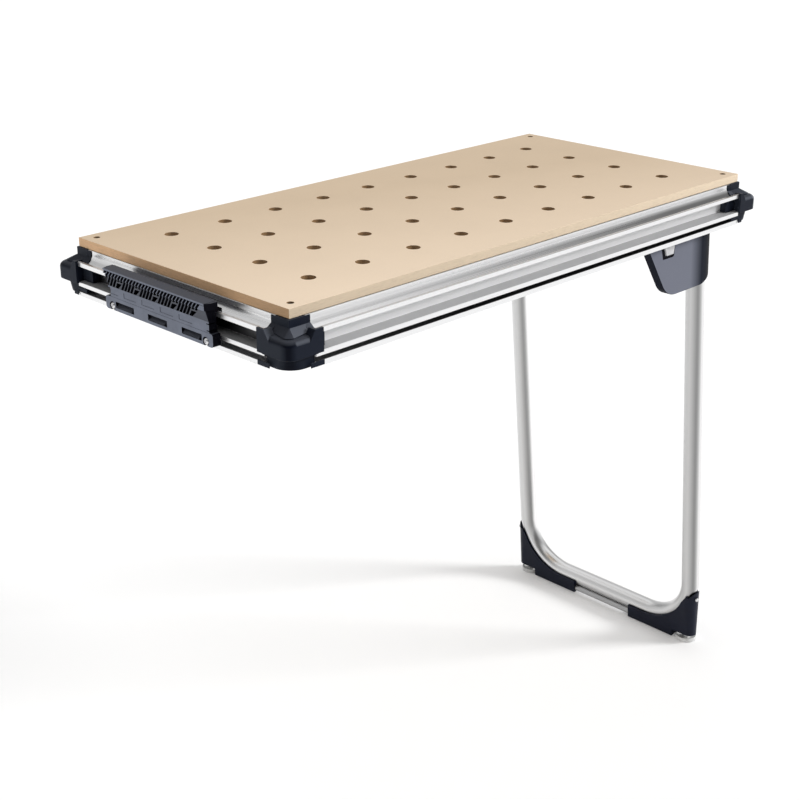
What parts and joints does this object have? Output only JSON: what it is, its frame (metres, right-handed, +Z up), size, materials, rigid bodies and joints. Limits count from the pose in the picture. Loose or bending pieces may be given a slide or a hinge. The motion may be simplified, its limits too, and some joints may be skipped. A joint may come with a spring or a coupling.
{
  "type": "folding extension work table",
  "caption": "Perforated fibreboard work table on an aluminium rail frame, with a hook bracket at one end and a fold-under tubular leg at the other.",
  "frame": {"origin": "on the floor, under the middle of the table's bounding box", "axes": "+X from the hook bracket to the folding leg, +Y from the front rail to the rear rail, +Z up"},
  "size_m": [1.0452, 0.4958, 0.8955],
  "materials": {
    "wood": "bare fibreboard, matte",
    "aluminium": "satin anodised",
    "steel": "zinc plated",
    "dark_plastic": "fine grained",
    "housing_plastic": "smooth",
    "silver_plastic": "silver coloured",
    "pale_plastic": "pale, slightly translucent"
  },
  "bodies": {
    "table": {"perforated_top": "wood", "front_rail": "aluminium", "rear_rail": "aluminium", "left_rail": "aluminium", "right_rail": "aluminium", "corner_front_left": "dark_plastic", "top_screw_front_left": "steel", "corner_front_right": "dark_plastic", "top_screw_front_right": "steel", "corner_rear_left": "dark_plastic", "top_screw_rear_left": "steel", "corner_rear_right": "dark_plastic", "top_screw_rear_right": "steel", "hook_bracket": "dark_plastic", "hook_bolt_front": "steel", "hook_slot_nut_front": "steel", "leg_housing_front": "housing_plastic", "hinge_bracket_front": "steel", "hinge_screw_front_1": "steel", "hinge_screw_front_2": "steel", "pivot_pin_front": "steel", "pivot_washer_front": "housing_plastic", "hook_bolt_rear": "steel", "hook_slot_nut_rear": "steel", "leg_housing_rear": "housing_plastic", "hinge_bracket_rear": "steel", "hinge_screw_rear_1": "steel", "hinge_screw_rear_2": "steel", "pivot_pin_rear": "steel", "pivot_washer_rear": "housing_plastic"},
    "leg": {"leg_tube": "aluminium", "foot_rail": "aluminium", "leg_knuckle_front": "dark_plastic", "leg_knuckle_rear": "dark_plastic", "foot_cap_front": "dark_plastic", "foot_cap_rear": "dark_plastic", "cap_screw_front": "steel", "cap_screw_rear": "steel"},
    "button_front": {"release_button_front": "silver_plastic"},
    "button_rear": {"release_button_rear": "silver_plastic"},
    "foot_front": {"level_foot_front": "pale_plastic", "foot_stem_front": "steel"},
    "foot_rear": {"level_foot_rear": "pale_plastic", "foot_stem_rear": "steel"}
  },
  "joints": [
    {"name": "leg_fold", "type": "hinge", "parent": "table", "child": "leg", "pos_m": [0.42539, 0, 0.7775], "axis": [0, 1, 0], "range_deg": [0, 96]},
    {"name": "release_front", "type": "slide", "parent": "table", "child": "button_front", "axis": [0, 1, 0], "range_m": [0, 0.004], "stiffness_N_per_m": 400},
    {"name": "release_rear", "type": "slide", "parent": "table", "child": "button_rear", "axis": [0, -1, 0], "range_m": [0, 0.004], "stiffness_N_per_m": 400},
    {"name": "level_front", "type": "slide", "parent": "leg", "child": "foot_front", "axis": [0, 0, -1], "range_m": [0, 0.015]},
    {"name": "level_rear", "type": "slide", "parent": "leg", "child": "foot_rear", "axis": [0, 0, -1], "range_m": [0, 0.015]}
  ]
}
